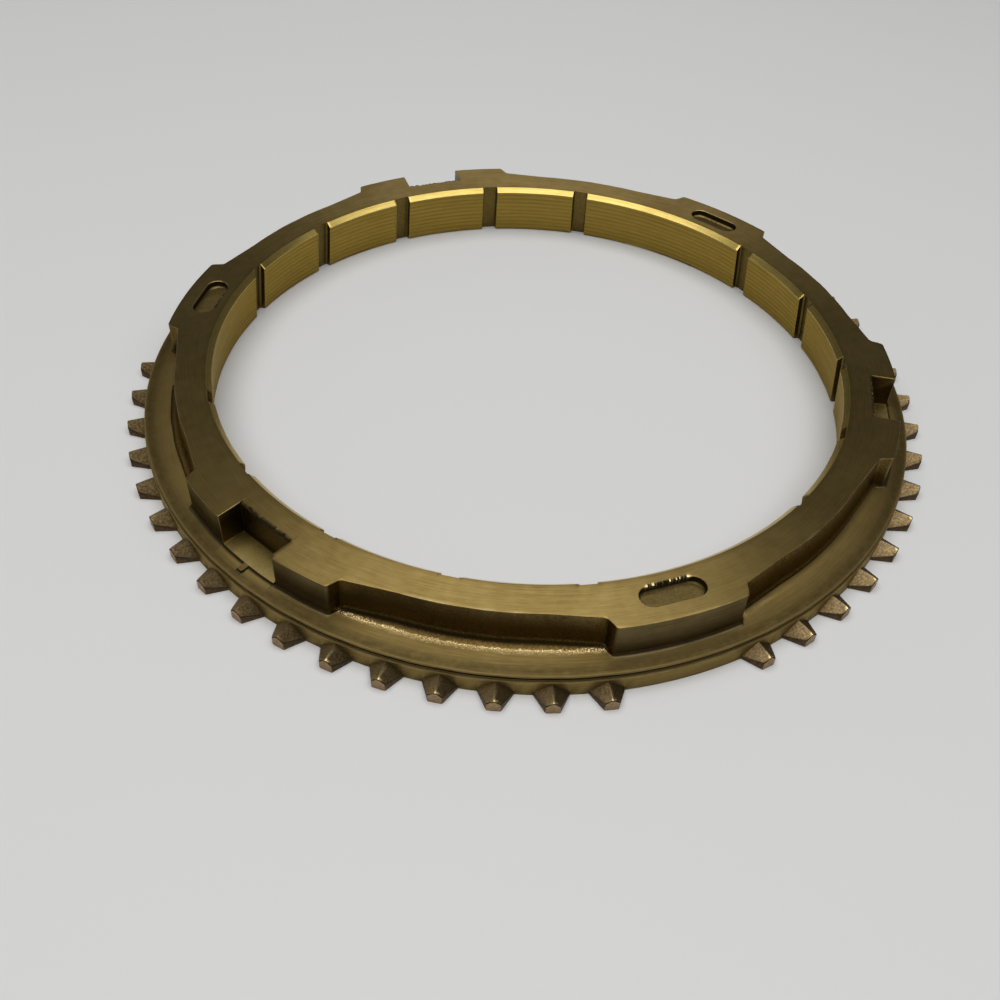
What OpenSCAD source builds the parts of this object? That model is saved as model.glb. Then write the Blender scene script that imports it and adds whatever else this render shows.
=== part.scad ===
// Brass synchronizer ring of a heavy gearbox, forged and turned in one piece.
// The ring lies on its toothed face: Z is the axis of the friction cone and
// Z = 0 is the toothed face, which is also the wide end of the cone.
// One pocket points along -Y. Pockets and key slots follow each other every 60 degrees.

/* [Friction cone] */
// Diameter of the cone at the toothed face
cone_mouth_d = 132; // [110:0.5:160]
// Half angle of the cone
cone_half_angle = 7; // [5:0.25:9]
// Chamfer at the mouth of the cone
mouth_chamfer = 0.3; // [0.1:0.05:0.6]
// Chamfer between the cone and the top face
top_chamfer = 1; // [0.4:0.1:1.6]

/* [Collar] */
// Height from the toothed face to the top face
ring_h = 12; // [9:0.1:16]
// Radial wall from the mouth of the cone to the recessed wall, at the top face
collar_wall = 5.7; // [4.5:0.1:8]
// Draft of the recessed forged wall
recess_draft = 4.5; // [1:0.5:8]
// Fillet where the recessed wall meets the land
recess_fillet = 2; // [0.8:0.1:2.5]
// Radial rise of the turned pads over the recessed wall, at the top face
pad_rise = 3.7; // [2:0.1:5]
// Fillet where the pads meet the land
pad_fillet = 0.7; // [0.3:0.1:1]
// Slant of the pad ends away from the radius
pad_end_slant = 27; // [10:1:40]
// Fillet where the pad ends meet the recessed wall
pad_end_fillet = 1.2; // [0.4:0.1:2]
// Angle beside each pad over which the recessed wall runs straight
recess_flat_angle = 8.6; // [4:0.2:12]
// Outward turn of the straight walls where they leave the round one
recess_flat_turn = 4; // [3:0.5:8]
// Angle that each pocket pad spans at its outer wall
pocket_pad_span = 18; // [14:0.5:24]
// Angle that each key slot pad spans at its outer wall
slot_pad_span = 28.4; // [22:0.2:34]

/* [Flange] */
// Radial width of the land outside the pads
land_w = 3.4; // [2:0.1:6]
// Fall of the land towards its rim
land_slope = 3; // [0:0.5:6]
// Height of the toothed flange up to its ledge
flange_h = 3.4; // [2.8:0.1:5]
// Height of the rim of the land above the ledge
rim_h = 1.2; // [0.6:0.1:2]
// Undercut below the rim of the land
rim_undercut = 0.35; // [0.1:0.05:0.8]
// Radial width by which the ledge stands out past the rim
ledge_w = 0.2; // [0.1:0.05:1]

/* [Dog teeth] */
// Tooth places per third of the ring, the missing ones included
sector_pitches = 18; // [14:1:22]
// Teeth missing beside each pocket
missing_teeth = 2; // [0:1:6]
// Radial depth of a tooth from its root to its tip
tooth_depth = 3.5; // [2:0.1:5]
// Width of a tooth at its tip
tooth_tip_w = 2.4; // [1.2:0.1:3]
// Width of a tooth at its root
tooth_root_w = 6.1; // [4:0.1:6.5]
// Depth of the ridge of a tooth below the ledge, at the root
ridge_drop = 0.45; // [0.1:0.05:0.8]
// Fall of the ridge towards the tip of a tooth
ridge_slope = 3.5; // [0:0.5:8]
// Slant of the two roof facets of a tooth
roof_angle = 36; // [25:1:38]

/* [Key slots] */
// Width of a key slot between its parallel walls
slot_w = 13.4; // [9:0.1:18]
// Radial depth of a key slot from the outer wall of its pad
slot_depth = 5.05; // [3.5:0.05:6]
// Height of the floor of a key slot above the rim of the land
slot_floor_rise = 0.5; // [0.35:0.05:1.2]
// Width of the tongue in front of a key slot
tongue_w = 1.15; // [0.6:0.05:3]
// Length of the tongue from the outer wall of the pad
tongue_l = 1.7; // [0.8:0.1:1.9]

/* [Pockets] */
// Length of a pocket over its round ends
pocket_l = 12; // [8:0.1:16]
// Width of a pocket
pocket_w = 4.4; // [3:0.1:5.5]
// Depth of a pocket below the top face
pocket_depth = 1.6; // [0.6:0.1:2.5]
// Distance from the outer wall of its pad to the middle of a pocket
pocket_inset = 5.4; // [4.5:0.1:6]

/* [Oil grooves] */
// Width of an oil groove
groove_w = 3.5; // [2:0.1:5]
// Depth of an oil groove below the cone
groove_depth = 1.3; // [0.6:0.1:1.8]
// Places for oil grooves per third of the ring, the empty one included
sector_grooves = 6; // [4:1:8]
// Angle from the middle of a pocket to the empty place
groove_offset = 8.8; // [0:0.1:12]

/* [Hidden] */
$fn = 180;
sectors = 3;
sector_angle = 360 / sectors;
// Direction of the first pocket
pocket_dir = -90;
// Overlap of joined solids and overrun of cuts
lap = 1;
// Overrun of a tooth past its tip before the tip is turned
tip_over = 0.2;
// Depth by which the foot of a pad sinks into the land
seat = 0.05;
// Flats that make up a fillet
fillet_steps = 6;

// Radii from the cone outwards
mouth_r = cone_mouth_d / 2;
recess_top_r = mouth_r + collar_wall;
pad_r = recess_top_r + pad_rise;
rim_r = pad_r + land_w;
root_r = rim_r + ledge_w;
tip_r = root_r + tooth_depth;
// Heights from the toothed face upwards
rim_z = flange_h + rim_h;
slot_floor_z = rim_z + slot_floor_rise;
chamfer_z = ring_h - top_chamfer;
// Height of the forging before its top face is turned
forged_h = ring_h + lap;

function cone_r(z) = mouth_r - z * tan(cone_half_angle);
function land_z(r) = rim_z + (rim_r - r) * tan(land_slope);
function unit(v) = v / norm(v);

// Foot of the recessed wall, where its draft meets the slope of the land
recess_foot_r =
    (recess_top_r + (ring_h - rim_z - rim_r * tan(land_slope)) * tan(recess_draft))
    / (1 - tan(land_slope) * tan(recess_draft));
recess_foot = [recess_foot_r, land_z(recess_foot_r)];
pad_foot = [pad_r, land_z(pad_r) - seat];
land_dir = [cos(land_slope), -sin(land_slope)];
recess_dir = [-sin(recess_draft), cos(recess_draft)];
pad_dir = [0, 1];

pitch_angle = sector_angle / sector_pitches;
groove_angle = sector_angle / sector_grooves;

// Fillet of radius r in a corner, as points from the wall along dir_a to the wall along dir_b
function fillet_points(corner, dir_a, dir_b, r) =
    let (half_angle = acos(dir_a * dir_b) / 2)
    let (centre = corner + unit(dir_a + dir_b) * r / sin(half_angle))
    let (first = corner + dir_a * r / tan(half_angle) - centre)
    let (start = atan2(first[1], first[0]))
    let (sweep = (180 - 2 * half_angle) * sign(cross(dir_a, dir_b)))
    [for (i = [0 : fillet_steps])
        let (a = start - sweep * i / fillet_steps)
        centre + r * [cos(a), sin(a)]];

// End of a pad in plan, from outside its outer wall to where the straight wall beside it becomes round
function pad_end(span) =
    let (end_angle = span / 2)
    let (outer_end = pad_r * [cos(end_angle), sin(end_angle)])
    let (out_dir = [cos(end_angle - pad_end_slant), sin(end_angle - pad_end_slant)])
    let (normal_angle = end_angle + recess_flat_angle + recess_flat_turn)
    let (flat_normal = [cos(normal_angle), sin(normal_angle)])
    let (flat_dir = [-sin(normal_angle), cos(normal_angle)])
    let (flat_r = recess_top_r * cos(recess_flat_turn))
    let (end_l = (outer_end * flat_normal - flat_r) / (out_dir * flat_normal))
    let (corner = outer_end - end_l * out_dir)
    [outer_end + lap * out_dir,
        each fillet_points(corner, out_dir, flat_dir, pad_end_fillet),
        flat_r * flat_normal];

// Turned body: cone, top face, recessed wall, land, rim and flange
module body() {
    rotate_extrude() polygon([
        [mouth_r + mouth_chamfer, 0],
        [root_r, 0],
        [root_r, flange_h],
        [rim_r - rim_undercut, flange_h],
        [rim_r, rim_z],
        each fillet_points(recess_foot, land_dir, recess_dir, recess_fillet),
        [recess_top_r - lap * tan(recess_draft), forged_h],
        [cone_r(chamfer_z) + top_chamfer + lap, forged_h],
        [cone_r(chamfer_z), chamfer_z],
        [cone_r(mouth_chamfer), mouth_chamfer]
    ]);
}

// Ring of full pad section, from which the pads are parted
module pad_ring() {
    foot = fillet_points(pad_foot, land_dir, pad_dir, pad_fillet);
    rotate_extrude() polygon([
        [recess_top_r - lap, flange_h],
        [foot[0][0], flange_h],
        each foot,
        [pad_r, forged_h],
        [recess_top_r - lap, forged_h]
    ]);
}

// Wedge that parts one pad, with slanted ends, around the direction of X
module pad_wedge(span) {
    end = pad_end(span);
    linear_extrude(forged_h + lap) polygon([
        [rim_r + lap, 0],
        each end,
        for (i = [len(end) - 1 : -1 : 0]) [end[i][0], -end[i][1]]
    ]);
}

// Dog tooth along X: tapered sides and a roof of two facets that meet in a ridge
module tooth() {
    ridge_z = flange_h - ridge_drop;
    taper = (tooth_root_w - tooth_tip_w) / 2 / tooth_depth;
    root_half = tooth_root_w / 2;
    inner_half = root_half + lap * taper;
    outer_half = tooth_tip_w / 2 - tip_over * taper;
    roof_half = root_half + lap;
    intersection() {
        linear_extrude(ring_h) polygon([
            [root_r - lap, -inner_half],
            [tip_r + tip_over, -outer_half],
            [tip_r + tip_over, outer_half],
            [root_r - lap, inner_half]
        ]);
        translate([root_r, 0, ridge_z]) rotate([90, 0, 90]) rotate([ridge_slope, 0, 0])
            translate([0, 0, -2 * lap]) linear_extrude(tooth_depth + 4 * lap) polygon([
                [0, 0],
                [-roof_half, -roof_half * tan(roof_angle)],
                [-roof_half, -ring_h],
                [roof_half, -ring_h],
                [roof_half, -roof_half * tan(roof_angle)]
            ]);
        cylinder(r = tip_r, h = ring_h);
    }
}

// Teeth of one third of the ring, from one tooth gap to the next
module tooth_sector() {
    first = (missing_teeth + 1) / 2;
    for (i = [0 : sector_pitches - missing_teeth - 1])
        rotate((first + i) * pitch_angle) tooth();
}

// Facing cut that turns the top face flat
module facing_cut() {
    translate([0, 0, ring_h]) cylinder(r = rim_r, h = 2 * lap);
}

// Key slot cut along X, open at the outer wall of its pad
module key_slot() {
    translate([pad_r - slot_depth, -slot_w / 2, slot_floor_z])
        cube([slot_depth + land_w, slot_w, ring_h]);
}

// Tongue on the land in front of a key slot
module tongue() {
    translate([pad_r - lap, -tongue_w / 2, flange_h])
        cube([lap + tongue_l, tongue_w, slot_floor_z + lap - flange_h]);
}

// Pocket with round ends, milled into the top face across X
module pocket() {
    straight = pocket_l - pocket_w;
    translate([pad_r - pocket_inset, 0, ring_h - pocket_depth]) {
        translate([-pocket_w / 2, -straight / 2, 0]) cube([pocket_w, straight, ring_h]);
        for (side = [-1, 1])
            translate([0, side * straight / 2, 0]) cylinder(d = pocket_w, h = ring_h);
    }
}

// Oil groove along the slope of the cone
module oil_groove() {
    translate([mouth_r, 0, 0]) rotate([0, -cone_half_angle, 0])
        translate([-groove_depth - 2 * lap, -groove_w / 2, -lap])
            cube([2 * groove_depth + 2 * lap, groove_w, ring_h + 3 * lap]);
}

// The whole ring
module synchronizer_ring() {
    color("#8c7533") difference() {
        union() {
            body();
            for (s = [0 : sectors - 1]) rotate(pocket_dir + s * sector_angle) {
                intersection() {
                    pad_ring();
                    pad_wedge(pocket_pad_span);
                }
                rotate(sector_angle / 2) {
                    intersection() {
                        pad_ring();
                        pad_wedge(slot_pad_span);
                    }
                    tongue();
                }
                tooth_sector();
            }
        }
        facing_cut();
        for (s = [0 : sectors - 1]) rotate(pocket_dir + s * sector_angle) {
            pocket();
            rotate(sector_angle / 2) key_slot();
            for (g = [1 : sector_grooves - 1])
                rotate(groove_offset + g * groove_angle) oil_groove();
        }
    }
}

synchronizer_ring();
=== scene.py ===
# %% [markdown]
# # A brass synchronizer ring
# The ring is one brass forging that was turned and milled. It lies on its toothed face on a pale floor.
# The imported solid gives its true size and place. The ring that is seen is made here as one clean mesh,
# because a mesh that follows each turned and milled surface can carry rounded edges, a fine thread and
# a finish of its own for each surface.

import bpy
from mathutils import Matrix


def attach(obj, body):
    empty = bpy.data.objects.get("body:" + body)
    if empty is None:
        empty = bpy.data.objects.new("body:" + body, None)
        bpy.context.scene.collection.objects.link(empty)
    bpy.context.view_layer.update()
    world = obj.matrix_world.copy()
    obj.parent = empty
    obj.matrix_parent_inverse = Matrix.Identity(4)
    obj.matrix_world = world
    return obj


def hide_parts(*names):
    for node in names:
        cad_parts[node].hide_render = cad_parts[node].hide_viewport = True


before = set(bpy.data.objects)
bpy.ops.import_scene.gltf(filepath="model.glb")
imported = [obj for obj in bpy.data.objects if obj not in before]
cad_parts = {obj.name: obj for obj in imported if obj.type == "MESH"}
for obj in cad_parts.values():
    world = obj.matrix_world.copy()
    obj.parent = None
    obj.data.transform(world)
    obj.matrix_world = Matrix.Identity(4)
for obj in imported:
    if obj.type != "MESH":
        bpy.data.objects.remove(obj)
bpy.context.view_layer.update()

import math

import bpy
import numpy as np
from mathutils import Matrix, Vector

# %% [markdown]
# ## Camera
# The photograph was taken from close by, looking down at about 45 degrees, so near teeth look much larger
# than far ones. The place, the angles and the lens come from matching tooth tips, cone and top face. The
# angles are a turn about the vertical, a tilt down and a small roll, and the three make one rotation matrix.

# %% Camera of the photograph
MM = 0.001
CAMERA_PLACE = Vector((-67.35, -165.27, 143.55)) * MM
CAMERA_TURN = math.radians(20.761)
CAMERA_TILT = math.radians(44.892)
CAMERA_ROLL = math.radians(2.969)
CAMERA_LENS = 37.914
SENSOR_WIDTH = 36
NEAREST_SEEN = 0.005

right = Vector((math.cos(CAMERA_TURN), -math.sin(CAMERA_TURN), 0))
level = Vector((math.sin(CAMERA_TURN), math.cos(CAMERA_TURN), 0))
forward = level * math.cos(CAMERA_TILT) - Vector((0, 0, math.sin(CAMERA_TILT)))
above = right.cross(forward)
rolled_right = right * math.cos(CAMERA_ROLL) + above * math.sin(CAMERA_ROLL)
rolled_above = above * math.cos(CAMERA_ROLL) - right * math.sin(CAMERA_ROLL)

camera_data = bpy.data.cameras.new("photo_camera")
camera_data.lens = CAMERA_LENS
camera_data.sensor_width = SENSOR_WIDTH
camera_data.clip_start = NEAREST_SEEN
camera = bpy.data.objects.new("photo_camera", camera_data)
bpy.context.scene.collection.objects.link(camera)
camera_axes = Matrix((rolled_right, rolled_above, -forward)).transposed()
camera.matrix_world = Matrix.Translation(CAMERA_PLACE) @ camera_axes.to_4x4()
bpy.context.scene.camera = camera
print("camera stands", round(CAMERA_PLACE.length, 4), "m from the middle of the ring")

# %% [markdown]
# ## Skin of the ring
# The section of the ring is drawn as a row of points, from the underside round the teeth, up the collar and
# down the cone. A station is one such row at one angle. Quads between stations make the skin. Where a wall
# stands along the radius, such as the flank of a tooth, two stations share an angle. Points that fall
# together are welded at the end, which closes the skin without holes.
#
# The teeth, the collar and the cone need stations at different angles, so each is a band of its own. Two
# bands meet on a flat face, where a strip of triangles zips their rims together.

# %% Helpers for stations and bands
skin_points = []
skin_wear_and_glint = []
skin_grime_and_shade = []
skin_faces = []
skin_finishes = []


def ring_point(angle, radius, z):
    """Point in millimetres at an angle in degrees, a radius and a height."""
    turn = math.radians(angle)
    return (radius * math.cos(turn), radius * math.sin(turn), z)


def beside(y, radius):
    """Angle in degrees at which a line at distance y from a radius crosses a circle."""
    return math.degrees(math.asin(y / radius))


def add_station(station, centre):
    """Store one station, given as rows of angle, radius, height, a value for rubbed edges and painted glints
    and one for soiling and painted shade; return its point numbers.
    """
    first = len(skin_points)
    for angle, radius, z, wear_and_glint, grime_and_shade in station:
        skin_points.append(ring_point(centre + angle, radius, z))
        skin_wear_and_glint.append(wear_and_glint)
        skin_grime_and_shade.append(grime_and_shade)
    return list(range(first, len(skin_points)))


def add_band(rows, finishes):
    """Quads between following stations; finishes gives each station's finish per step of the section."""
    for (row, finish), (next_row, next_finish) in zip(zip(rows, finishes), zip(rows[1:], finishes[1:])):
        for step in range(len(row) - 1):
            skin_faces.append((row[step], next_row[step], next_row[step + 1], row[step + 1]))
            skin_finishes.append(max(finish[step], next_finish[step]))


def mirrored(station):
    """The same station on the other side of its centre line."""
    return [(-angle, radius, z, wear_and_glint, grime_and_shade) for angle, radius, z, wear_and_glint, grime_and_shade in station]


def round_corner(corner, dir_a, dir_b, radius, steps):
    """Points of an arc that rounds a corner, from the side along dir_a to the side along dir_b."""
    half_angle = math.acos(float(np.dot(dir_a, dir_b))) / 2
    middle = dir_a + dir_b
    centre = corner + middle / np.linalg.norm(middle) * radius / math.sin(half_angle)
    start = corner + dir_a * radius / math.tan(half_angle) - centre
    sweep = (math.pi - 2 * half_angle) * np.sign(dir_a[0] * dir_b[1] - dir_a[1] * dir_b[0])
    first = math.atan2(start[1], start[0])
    turns = [first - sweep * step / steps for step in range(steps + 1)]
    return [centre + radius * np.array((math.cos(turn), math.sin(turn))) for turn in turns]


FINISHES = ["turned_top", "polished_chamfer", "threaded_cone", "turned_land", "lit_facet", "shaded_facet",
            "sheared_side", "sheared_tip", "turned_pad", "forged_wall", "milled_groove", "bare_pocket",
            "milled_slot", "clean_cut_and_glint", "packed_dirt_and_shade"]
(TOP, BRIGHT, CONE, LAND, LIT_FACET, SHADED_FACET,
 SIDE, TIP, PAD, FORGED, GROOVE, POCKET,
 SLOT, CLEAN_AND_GLINT, DIRT_AND_SHADE) = range(len(FINISHES))
print(len(FINISHES), "finishes")

# %% [markdown]
# ## Toothed flange
# Each dog tooth has tapered flanks and a roof of two facets, with a ridge that falls a little to the tip.
# Teeth that are cut with a boolean come out with ragged faces and hard edges, so they are drawn by stations.
# Twelve stations make a tooth: the bare root, the eave, its rounding, the middle of the facet, the side of
# the worn spot and the ridge, and the same again on the other side. One facet of each tooth is painted
# lighter and the other darker, as painted light and shade. The front teeth have a painted highlight at the
# end of the ridge, on a small worn flat. Painted shade draws a dark line along the upper edge of each tip,
# along the eave, at the foot of the flange wall and in the undercut below the rim.

# %% Sizes of the toothed flange
ROOT_R = 79.0
TIP_R = 82.5
ROOT_HALF = 3.05
TIP_HALF = 1.2
FLANGE_H = 3.4
RIDGE_Z = 2.95
RIDGE_FALL = math.tan(math.radians(3.5))
ROOF_FALL = math.tan(math.radians(36))
LEDGE_WALL = 0.5
LEDGE_EDGE = 0.1
SMALL_EDGE = 0.08
ROUNDING = 0.12
UNDERCUT_FOOT = 0.14
UNDERCUT_TOP = 4.05
RIM_FOOT = 4.2
RIM_LOW = 4.28
RIM_HIGH = 4.48
RIM_TOP = 4.61
RIM_STRIP = 0.35
RIM_R = 78.8
RIM_Z = 4.6
LAND_FALL = math.tan(math.radians(3))
UNDERCUT_R = 78.52
LAND_OUTER_R = 78.25


def land_z(radius):
    """Height of the land, which falls to its rim."""
    return RIM_Z + (RIM_R - radius) * LAND_FALL


def half_width(radius):
    """Half the width of a tooth at a radius."""
    return ROOT_HALF + (TIP_HALF - ROOT_HALF) * (radius - ROOT_R) / (TIP_R - ROOT_R)


def roof_z(radius, y):
    """Height of the roof of a tooth."""
    return RIDGE_Z - (radius - ROOT_R) * RIDGE_FALL - abs(y) * ROOF_FALL


def flange_top(angle):
    """Section above the teeth: ledge, undercut, rim and the outer strip of the land."""
    # The ledge and rim edges are painted a little lighter: small painted highlights along them.
    ledge = [(ROOT_R, FLANGE_H - LEDGE_WALL, 0, 0),
             (ROOT_R, FLANGE_H - LEDGE_EDGE, 0.25, 0.1),
             (ROOT_R - SMALL_EDGE, FLANGE_H, 0.2, 0.1)]
    # The undercut below the rim is darkened: painted shade under the overhang of the rim.
    neck = [(UNDERCUT_R + ROUNDING, FLANGE_H, 0, 0.4),
            (UNDERCUT_R, FLANGE_H + UNDERCUT_FOOT, 0, 0.8),
            (UNDERCUT_R, UNDERCUT_TOP, 0, 0.8)]
    rim = [(RIM_R - SMALL_EDGE, RIM_FOOT, 0, 0.4),
           (RIM_R, RIM_LOW, 0, 0.3),
           (RIM_R, RIM_HIGH, 0.1, 0.25),
           (RIM_R - ROUNDING, RIM_TOP, 0.15, 0.25)]
    land = [(RIM_R - RIM_STRIP, land_z(RIM_R - RIM_STRIP), 0, 0.5),
            (LAND_OUTER_R, land_z(LAND_OUTER_R), 0, 0.7)]
    return [(angle, *place) for place in ledge + neck + rim + land]


print("section above the teeth:", len(flange_top(0)), "points")

# %% Stations of a tooth
BASE_OUTER_R = 77.5
TOOTH_EDGE = 0.1
TIP_EDGE = 0.18
WORN_LENGTH = 0.6
WORN_SHARE = 0.2
WORN_DROP = WORN_SHARE * TIP_HALF * ROOF_FALL
HIGHLIGHT_FADE = 0.4
EAVE_DROP = 0.09
EAVE_Z = roof_z(ROOT_R, ROOT_HALF) - EAVE_DROP
EAVE_CUT = 0.7 * TOOTH_EDGE
MIDDLE_SHARE = 0.55
RIDGE_SHARE = 0.014
RIDGE_HIGHLIGHT = 1.0
FAINT_RIDGE_HIGHLIGHT = 0.1
ROOF_POINTS = 4


def root_station(angle):
    """Station on the bare root between two teeth."""
    # The foot of the flange wall, at the floor, is darkened: painted shade.
    low = [(angle, BASE_OUTER_R, 0, 0, 0), (angle, ROOT_R, 0, 0, 0.5), (angle, ROOT_R, 0, 0, 0.5)]
    wall = [(angle, ROOT_R, EAVE_Z, 0, 0.3)] * ROOF_POINTS
    return low + wall + flange_top(angle)


def tooth_station(share, wear_and_glint, grime_and_shade, inset=0, tip_cut=0, drop=0, tip_drop=0):
    """Station at a share of a tooth's half width; inset, tip_cut and the drops shape its edges."""
    tip_r = TIP_R - tip_cut
    root_y = share * (half_width(ROOT_R) - inset)
    tip_y = share * (half_width(tip_r) - inset)
    root_angle = beside(root_y, ROOT_R)
    tip_angle = beside(tip_y, tip_r)
    tip_z = roof_z(tip_r, tip_y) - drop - tip_drop
    worn_r = tip_r - WORN_LENGTH
    worn_y = share * (half_width(worn_r) - inset)
    worn_z = roof_z(worn_r, worn_y) - drop
    root_z = roof_z(ROOT_R, root_y) - drop
    # The foot of the tooth, at the floor, is darkened: painted shade.
    low = [(root_angle, BASE_OUTER_R, 0, 0, 0),
           (root_angle, ROOT_R, 0, 0, 0.5),
           (tip_angle, tip_r, 0, 0, 0.3)]
    tip = [(tip_angle, tip_r, tip_z - TIP_EDGE, 0, grime_and_shade),
           (tip_angle, tip_r - TOOTH_EDGE, tip_z, wear_and_glint, grime_and_shade)]
    # The point on the worn flat takes part of the ridge's painted highlight.
    worn_highlight = [(beside(worn_y, worn_r), worn_r, worn_z, HIGHLIGHT_FADE * wear_and_glint if tip_drop else 0, grime_and_shade)]
    root = [(root_angle, ROOT_R, root_z, 0, max(0.3, grime_and_shade))]
    return low + tip + worn_highlight + root + flange_top(root_angle)


def half_tooth(rub_and_glint):
    """Stations from the eave of a tooth to its ridge; the argument is how bright the end of the ridge is
    painted as a highlight.
    """
    # The eave station is darkened: a painted line of shade along the eave.
    return [tooth_station(1, 0, 0.9, tip_cut=EAVE_CUT, drop=EAVE_DROP),
            tooth_station(1, 0.1, 0.1, inset=TOOTH_EDGE),
            tooth_station(MIDDLE_SHARE, 0.1, 0),
            tooth_station(WORN_SHARE, rub_and_glint, 0),
            tooth_station(RIDGE_SHARE, rub_and_glint, 0, tip_drop=WORN_DROP)]


print("half a tooth:", len(half_tooth(FAINT_RIDGE_HIGHLIGHT)), "stations")

# %% Band of the toothed flange
SECTORS = 3
SECTOR_ANGLE = 360 / SECTORS
POCKET_DIR = -90
PITCHES = 54
MISSING = 2
PITCH_ANGLE = 360 / PITCHES
root_edge = root_station(beside(ROOT_HALF, ROOT_R))
flange_steps = len(root_edge) - 1
SIDE_STEPS = 3
ROOF_STEPS = 3
LEDGE_STEPS = 3
UNDERCUT_STEPS = 2
above_teeth = [LAND] * (flange_steps - SIDE_STEPS - ROOF_STEPS)
# The undercut takes the dirt finish: painted shade under the rim.
above_teeth[LEDGE_STEPS + UNDERCUT_STEPS] = DIRT_AND_SHADE
root_row = [LAND] * (SIDE_STEPS + ROOF_STEPS) + above_teeth
HIGHLIGHT_REACH = 6
GAP_SHARES = (-0.5, -0.25, 0, 0.25)
SECTOR_PITCHES = PITCHES // SECTORS


def whole_tooth(worn_highlight):
    """Stations of a tooth with their finishes; a tooth near the front has a painted highlight at the end of
    its ridge.
    """
    rows = [(mirrored(root_edge), root_row)]
    # One facet takes the lit finish and the other the shaded one: painted light and shade on the same brass.
    for side, facet in ((-1, LIT_FACET), (1, SHADED_FACET)):
        eave_row = [SIDE] * SIDE_STEPS + [facet] * ROOF_STEPS + above_teeth
        # The upper edge of the tip takes the dirt finish: a painted dark line of shade.
        roof_row = [SIDE] * (SIDE_STEPS - 1) + [TIP, DIRT_AND_SHADE] + [facet] * (ROOF_STEPS - 1) + above_teeth
        ridge_row = list(roof_row)
        # A front tooth gets the clean bright finish on the end of its ridge: a painted highlight.
        if worn_highlight:
            ridge_row[SIDE_STEPS + 1] = CLEAN_AND_GLINT
        half_rows = [eave_row, roof_row, roof_row, roof_row, ridge_row]
        stations = half_tooth(RIDGE_HIGHLIGHT if worn_highlight else FAINT_RIDGE_HIGHLIGHT)
        half = [(mirrored(station) if side < 0 else station, row)
                for station, row in zip(stations, half_rows)]
        rows += half[::-side]
    return rows + [(root_edge, root_row)]


flange_rows = []
flange_finishes = []
for place in range(PITCHES):
    sector_place = place % SECTOR_PITCHES
    centre = POCKET_DIR + (place + 0.5) * PITCH_ANGLE
    in_gap = sector_place < MISSING / 2 or sector_place >= SECTOR_PITCHES - MISSING / 2
    shares = GAP_SHARES if in_gap else GAP_SHARES[:1]
    stations = [(root_station(share * PITCH_ANGLE), root_row) for share in shares]
    if not in_gap:
        # Only teeth near the front pocket get the painted highlight at the ridge end.
        stations += whole_tooth(min(place, PITCHES - 1 - place) <= HIGHLIGHT_REACH)
    for station, finish in stations:
        flange_rows.append(add_station(station, centre))
        flange_finishes.append(finish)
flange_rows.append(flange_rows[0])
flange_finishes.append(root_row)
add_band(flange_rows, flange_finishes)
print("toothed flange:", len(flange_rows), "stations of", flange_steps + 1, "points")

# %% [markdown]
# ## Plan of the pads
# The collar is turned on six pads and left as forged between them. A pad end slants, its outer corner is
# rounded, and a fillet leads into a straight piece of wall that runs into the round forged wall. All of
# that is one line in plan, and each of its points becomes a station.

# %% Plan of the pad ends
PAD_R = 75.4
RECESS_R = 71.7
PAD_SLANT = 27
FLAT_ANGLE = 8.6
FLAT_TURN = 4
RECESS_DRAFT = 4.5
POCKET_PAD_HALF = 9.0
SLOT_PAD_HALF = 14.2
CREST_ROUND = 0.7
CREST_STEPS = 4
HOLLOW_ROUND = 1.2
HOLLOW_STEPS = 6
FLAT_SHARES = (0.25, 0.5, 0.75, 1)
TURN_START = 0.3


def heading(angle):
    """Unit vector in plan at an angle in degrees."""
    return np.array((math.cos(math.radians(angle)), math.sin(math.radians(angle))))


def pad_end(half_span):
    """Line of a pad end in plan, as rows of angle, radius and how far it has turned into forged wall."""
    outer = PAD_R * heading(half_span)
    out_dir = heading(half_span - PAD_SLANT)
    along_pad = heading(half_span - 90)
    flat_normal = heading(half_span + FLAT_ANGLE + FLAT_TURN)
    flat_dir = heading(half_span + FLAT_ANGLE + FLAT_TURN + 90)
    flat_r = RECESS_R * math.cos(math.radians(FLAT_TURN))
    end_length = (outer @ flat_normal - flat_r) / (out_dir @ flat_normal)
    inner = outer - end_length * out_dir
    crest = round_corner(outer, along_pad, -out_dir, CREST_ROUND, CREST_STEPS)
    hollow = round_corner(inner, out_dir, flat_dir, HOLLOW_ROUND, HOLLOW_STEPS)
    flat_end = RECESS_R * heading(half_span + FLAT_ANGLE)
    flat = [hollow[-1] + (flat_end - hollow[-1]) * share for share in FLAT_SHARES]
    line = crest + hollow + flat
    rest = len(line) - len(crest)
    turned = [0] * len(crest)
    turned += [TURN_START + (1 - TURN_START) * step / (rest - 1) for step in range(rest)]
    return [(math.degrees(math.atan2(p[1], p[0])), math.hypot(*p), turn) for p, turn in zip(line, turned)]


pocket_pad_end = pad_end(POCKET_PAD_HALF)
slot_pad_end = pad_end(SLOT_PAD_HALF)
hollow_r = min(p[1] for p in pocket_pad_end)
print("pad end:", len(pocket_pad_end), "points, hollow at radius", round(hollow_r, 2), "mm")

# %% [markdown]
# ## Collar
# One function draws the section of the collar for a given wall: land, fillet, wall, rounded top edge and
# top face. On a pad the wall is upright with a small fillet, and in a recess it leans and has a large one.
# Pocket and key slot stations keep to straight lines beside the middle, so that milled walls stay parallel.

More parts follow.
